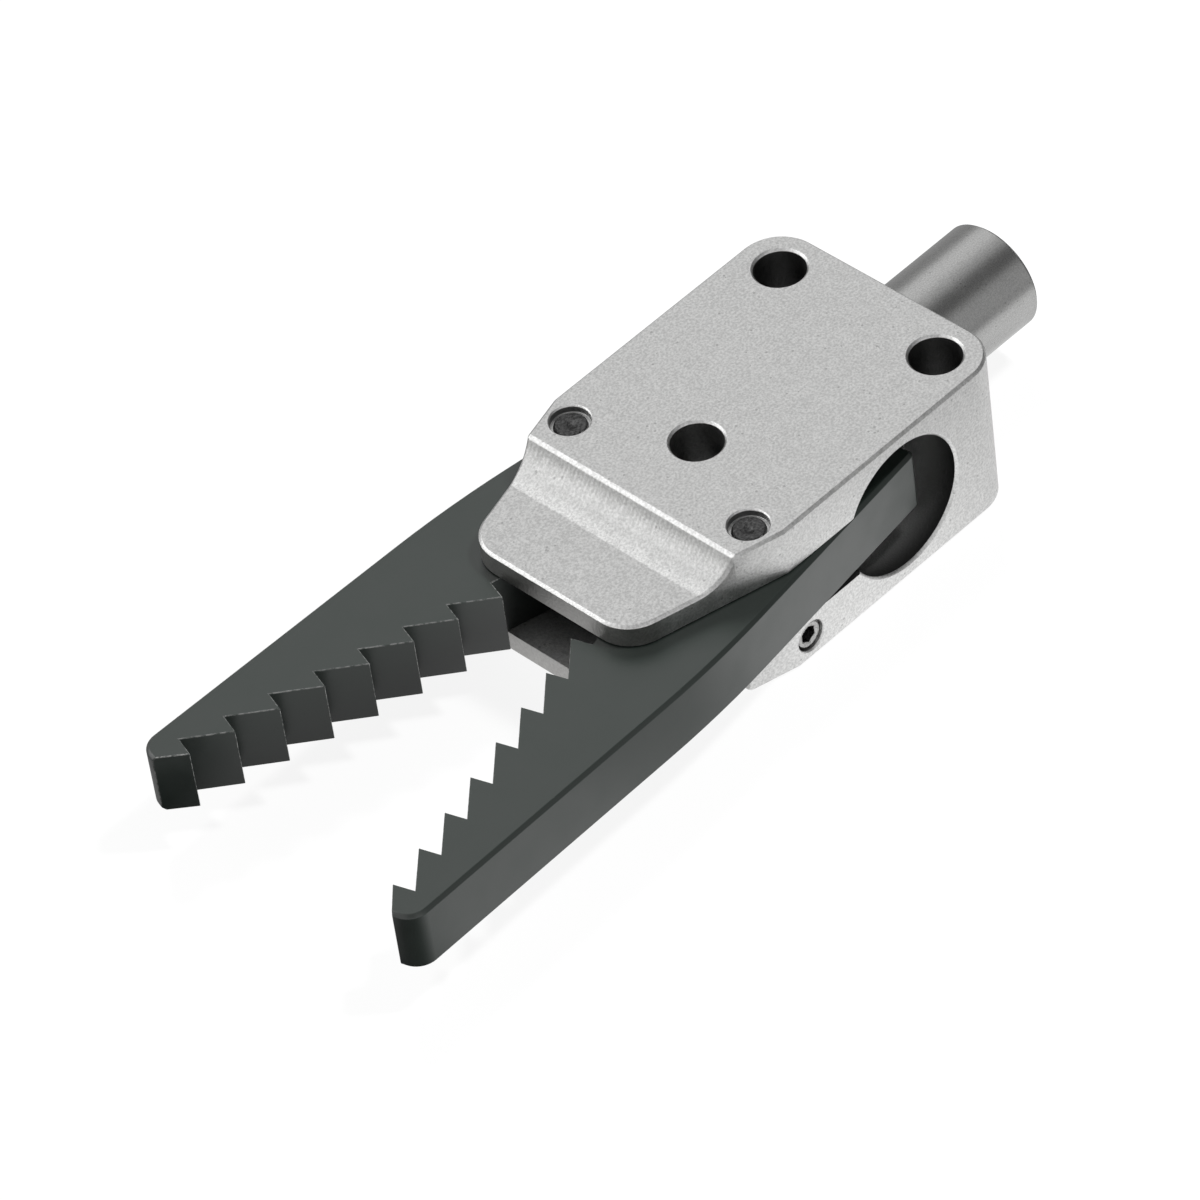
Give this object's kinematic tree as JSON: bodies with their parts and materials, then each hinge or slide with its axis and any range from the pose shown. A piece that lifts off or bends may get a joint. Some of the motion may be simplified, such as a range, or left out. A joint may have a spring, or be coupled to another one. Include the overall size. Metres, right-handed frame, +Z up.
{
  "type": "pneumatic sprue gripper",
  "caption": "Small air-driven parallel-plate gripper with a round clamping shank and toothed jaw fingers that swing shut on a moulded sprue.",
  "frame": {"origin": "on the clamping shank's axis, where the shank meets the housing's rear face", "axes": "+X forward along the shank's axis to the jaw tips, +Y across the two fingers, +Z up through the face with the counterbored pivot pins"},
  "size_m": [0.1184, 0.0428, 0.0216],
  "materials": {
    "housing_aluminium": "bare, vibratory finished, satin",
    "piston_aluminium": "turned",
    "black_anodised": "hard anodised, satin black",
    "ground_steel": "ground",
    "hardened_steel": "hardened and ground",
    "black_steel": "black oxide",
    "spring_steel": "drawn wire",
    "bearing_bronze": "sintered",
    "bearing_plastic": "matt",
    "rubber": "matt"
  },
  "bodies": {
    "housing": {"housing": "housing_aluminium", "clamp_shank": "ground_steel", "rear_bumper": "rubber", "rod_guide": "bearing_bronze", "guide_retaining_ring": "spring_steel", "return_spring": "spring_steel", "opening_spring": "spring_steel", "pivot_pin_right": "black_steel", "pivot_pin_left": "black_steel", "set_screw_right": "black_steel", "set_screw_left": "black_steel"},
    "finger_right": {"finger_right": "black_anodised", "pivot_bush_right": "bearing_bronze", "cam_pin_right": "hardened_steel"},
    "finger_left": {"finger_left": "black_anodised", "pivot_bush_left": "bearing_bronze", "cam_pin_left": "hardened_steel"},
    "piston": {"piston": "piston_aluminium", "piston_seal": "rubber", "piston_wear_ring": "bearing_plastic", "piston_rod": "ground_steel", "spreader_wedge": "hardened_steel", "wedge_screw": "black_steel"}
  },
  "joints": [
    {"name": "finger_right_swing", "type": "hinge", "parent": "housing", "child": "finger_right", "pos_m": [0.03862, 0.0138, 0], "axis": [0, 0, 1], "range_deg": [-15.15, 0], "stiffness_Nm_per_rad": 0.15, "deforming": ["opening_spring"]},
    {"name": "finger_left_swing", "type": "hinge", "parent": "housing", "child": "finger_left", "pos_m": [0.03862, -0.0138, 0], "axis": [0, 0, 1], "range_deg": [0, 15.15]},
    {"name": "piston_slide", "type": "slide", "parent": "housing", "child": "piston", "axis": [1, 0, 0], "range_m": [0, 0.00416], "deforming": ["return_spring"]}
  ],
  "couplings": [
    {"joint": "finger_left_swing", "follows": "finger_right_swing", "ratio": -1},
    {"joint": "piston_slide", "follows": "finger_right_swing", "m_per_rad": -0.015715}
  ]
}
